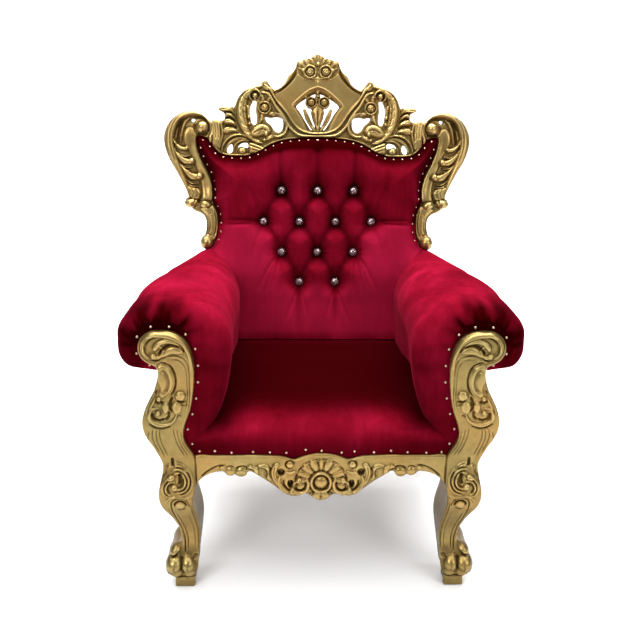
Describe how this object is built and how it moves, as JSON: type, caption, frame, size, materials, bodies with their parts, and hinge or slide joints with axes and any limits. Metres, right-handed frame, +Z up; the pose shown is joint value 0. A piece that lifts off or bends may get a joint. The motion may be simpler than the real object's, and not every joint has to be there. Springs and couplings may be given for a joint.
{
  "type": "throne chair",
  "caption": "Carved gilt throne with a pierced crest, scrolled ears, buttoned velvet back, rolled arms and sprung seat on cabriole front legs.",
  "frame": {"origin": "middle of the overall footprint, on the floor under the feet", "axes": "+Z up, -Y towards the front of the throne, +X to the right of a viewer who faces it"},
  "size_m": [0.936, 0.818, 1.2425],
  "materials": {
    "gilt_wood": "carved wood under satin gold leaf, brown glaze in the hollows",
    "velvet": "crimson cotton velvet over foam",
    "crystal": "cut crystal button with a foiled back"
  },
  "bodies": {
    "root": {"front_post_left": "gilt_wood", "front_post_right": "gilt_wood", "front_rail": "gilt_wood", "side_rail_left": "gilt_wood", "side_rail_right": "gilt_wood", "rear_rail": "gilt_wood", "rear_leg_left": "gilt_wood", "rear_leg_right": "gilt_wood", "wing_left": "gilt_wood", "wing_right": "gilt_wood", "crest": "gilt_wood", "seat": "velvet", "back_pad": "velvet", "arm_left": "velvet", "arm_right": "velvet", "arm_panel_left": "velvet", "arm_panel_right": "velvet", "back_panel": "velvet", "button_1": "crystal", "button_2": "crystal", "button_3": "crystal", "button_4": "crystal", "button_5": "crystal", "button_6": "crystal", "button_7": "crystal", "button_8": "crystal", "button_9": "crystal", "button_10": "crystal", "button_11": "crystal", "button_12": "crystal"}
  },
  "joints": []
}
